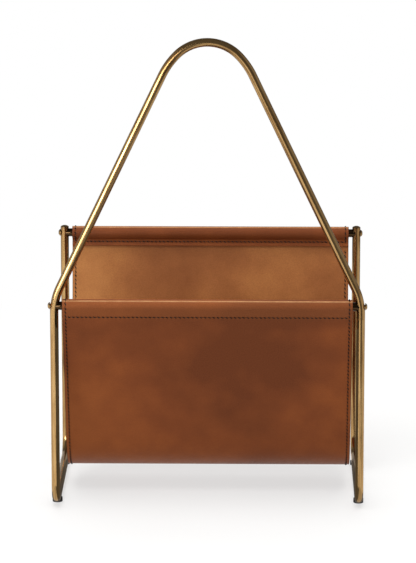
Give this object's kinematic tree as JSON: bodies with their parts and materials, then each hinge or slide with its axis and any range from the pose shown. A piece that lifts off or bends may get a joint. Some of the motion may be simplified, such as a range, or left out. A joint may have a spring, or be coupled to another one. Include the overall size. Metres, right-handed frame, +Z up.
{
  "type": "magazine rack",
  "caption": "Floor-standing magazine rack: a leather sling hung on cross rods between bent-tube side frames, with a tall arched carrying handle at the front.",
  "frame": {"origin": "on the floor, at the middle of the footprint", "axes": "+X to the right and +Z up, seen from the front; the front, where the arched handle stands, faces -Y"},
  "size_m": [0.3756, 0.2494, 0.565],
  "materials": {
    "antique_brass": "antique brass plating on steel tube, streaky brown patina, satin to polished",
    "plain_steel": "plain turned steel, hidden inside the tubes",
    "black_rubber": "matt black rubber",
    "saddle_leather": "cognac saddle leather, fine grain, cloudy colour, semi-matt",
    "tan_lining": "light tan lining leather, fine even grain, matt",
    "dark_thread": "waxed dark brown thread"
  },
  "bodies": {
    "root": {"arch_handle": "antique_brass", "side_frame_left": "antique_brass", "side_frame_right": "antique_brass", "joint_sleeve_left": "plain_steel", "joint_sleeve_right": "plain_steel", "post_cap_left": "antique_brass", "post_cap_right": "antique_brass", "rubber_foot_front_left": "black_rubber", "rubber_foot_front_right": "black_rubber", "rubber_foot_rear_left": "black_rubber", "rubber_foot_rear_right": "black_rubber", "front_rod": "antique_brass", "rear_rod": "antique_brass", "rod_insert_front_left": "plain_steel", "rod_insert_front_right": "plain_steel", "rod_insert_rear_left": "plain_steel", "rod_insert_rear_right": "plain_steel", "rod_screw_front_left": "antique_brass", "rod_screw_front_right": "antique_brass", "rod_screw_rear_left": "antique_brass", "rod_screw_rear_right": "antique_brass", "sling_outer": "saddle_leather", "sling_lining": "tan_lining", "hem_thread_front": "dark_thread", "hem_thread_rear": "dark_thread", "edge_thread_left": "dark_thread", "edge_thread_right": "dark_thread"}
  },
  "joints": []
}
